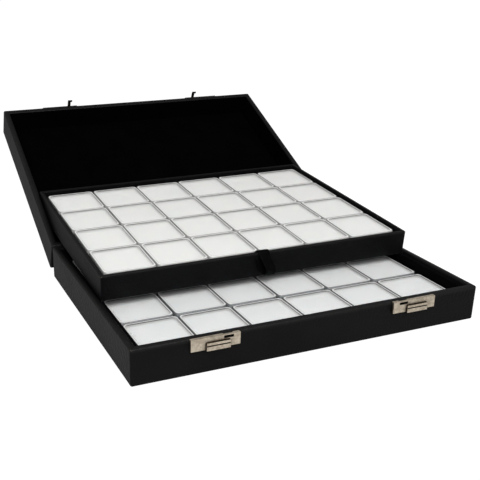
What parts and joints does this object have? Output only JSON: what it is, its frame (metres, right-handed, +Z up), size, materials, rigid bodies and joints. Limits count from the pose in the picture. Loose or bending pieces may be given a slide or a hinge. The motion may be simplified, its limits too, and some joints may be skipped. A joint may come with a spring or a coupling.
{
  "type": "mineral specimen box",
  "caption": "Two-level display case for mineral specimens with a hinged lid, a lift-out tray, sliding catches and square clear jars lined with white foam.",
  "frame": {"origin": "centre of the base's underside, on the surface that it stands on", "axes": "+Z up; +X to the right; -Y towards the catches on the front"},
  "size_m": [0.2612, 0.3755, 0.1108],
  "materials": {
    "board": "matt grey-brown chipboard",
    "leatherette": "black embossed leatherette, low sheen",
    "underside_paper": "matt black paper",
    "velvet": "black velvet pile",
    "pad_foam": "dark polyurethane foam",
    "nickel": "nickel-plated pressed steel, warm and satin",
    "steel": "drawn steel wire",
    "ribbon": "black woven satin ribbon",
    "foam": "soft white polyethylene foam",
    "clear_plastic": "clear moulded polystyrene"
  },
  "bodies": {
    "base": {"base_bottom_board": "board", "base_front_board": "board", "base_back_board": "board", "base_left_board": "board", "base_right_board": "board", "base_wrap": "leatherette", "base_underside_sheet": "underside_paper", "base_floor_velvet": "velvet", "base_front_liner": "velvet", "base_back_liner": "velvet", "base_left_liner": "velvet", "base_right_liner": "velvet", "left_hinge_base_leaf": "nickel", "right_hinge_base_leaf": "nickel", "left_hinge_pin": "steel", "right_hinge_pin": "steel", "hinge_base_nails": "nickel", "left_catch_housing": "nickel", "right_catch_housing": "nickel", "lower_jar_cups": "clear_plastic", "lower_jar_foams": "foam", "lower_jar_lids": "clear_plastic"},
    "lid": {"lid_top_board": "board", "lid_front_board": "board", "lid_back_board": "board", "lid_left_board": "board", "lid_right_board": "board", "lid_wrap": "leatherette", "lid_pad_foam": "pad_foam", "lid_pad_velvet": "velvet", "lid_wall_lining": "velvet", "left_hinge_lid_leaf": "nickel", "right_hinge_lid_leaf": "nickel", "hinge_lid_nails": "nickel", "left_hook_plate": "nickel", "right_hook_plate": "nickel"},
    "left_slider": {"left_catch_slider": "nickel"},
    "right_slider": {"right_catch_slider": "nickel"},
    "tray": {"tray_bottom_board": "board", "tray_front_board": "board", "tray_back_board": "board", "tray_left_board": "board", "tray_right_board": "board", "tray_wrap": "leatherette", "tray_floor_velvet": "velvet", "ribbon_pull": "ribbon", "upper_jar_cups": "clear_plastic", "upper_jar_foams": "foam", "upper_jar_lids": "clear_plastic"},
    "upper_sample_jar": {"upper_sample_cup": "clear_plastic", "upper_sample_foam": "foam"},
    "upper_sample_jar_lid": {"upper_sample_lid": "clear_plastic"},
    "lower_sample_jar": {"lower_sample_cup": "clear_plastic", "lower_sample_foam": "foam"},
    "lower_sample_jar_lid": {"lower_sample_lid": "clear_plastic"}
  },
  "joints": [
    {"name": "lid_hinge", "type": "hinge", "parent": "base", "child": "lid", "pos_m": [0, 0.0948, 0.0264], "axis": [-1, 0, 0], "range_deg": [0, 24.6]},
    {"name": "tray_lift", "type": "slide", "parent": "base", "child": "tray", "axis": [0, 0, 1], "range_m": [0, 0.1]},
    {"name": "left_catch_slide", "type": "slide", "parent": "base", "child": "left_slider", "axis": [1, 0, 0], "range_m": [0, 0.0026], "stiffness_N_per_m": 400},
    {"name": "right_catch_slide", "type": "slide", "parent": "base", "child": "right_slider", "axis": [1, 0, 0], "range_m": [0, 0.0026], "stiffness_N_per_m": 400},
    {"name": "upper_jar_lift", "type": "slide", "parent": "tray", "child": "upper_sample_jar", "axis": [0, -0.0653, 0.9979], "range_m": [0, 0.05]},
    {"name": "upper_jar_lid_lift", "type": "slide", "parent": "upper_sample_jar", "child": "upper_sample_jar_lid", "axis": [0, -0.0653, 0.9979], "range_m": [0, 0.02]},
    {"name": "lower_jar_lift", "type": "slide", "parent": "base", "child": "lower_sample_jar", "axis": [0, 0, 1], "range_m": [0, 0.05]},
    {"name": "lower_jar_lid_lift", "type": "slide", "parent": "lower_sample_jar", "child": "lower_sample_jar_lid", "axis": [0, 0, 1], "range_m": [0, 0.02]}
  ]
}
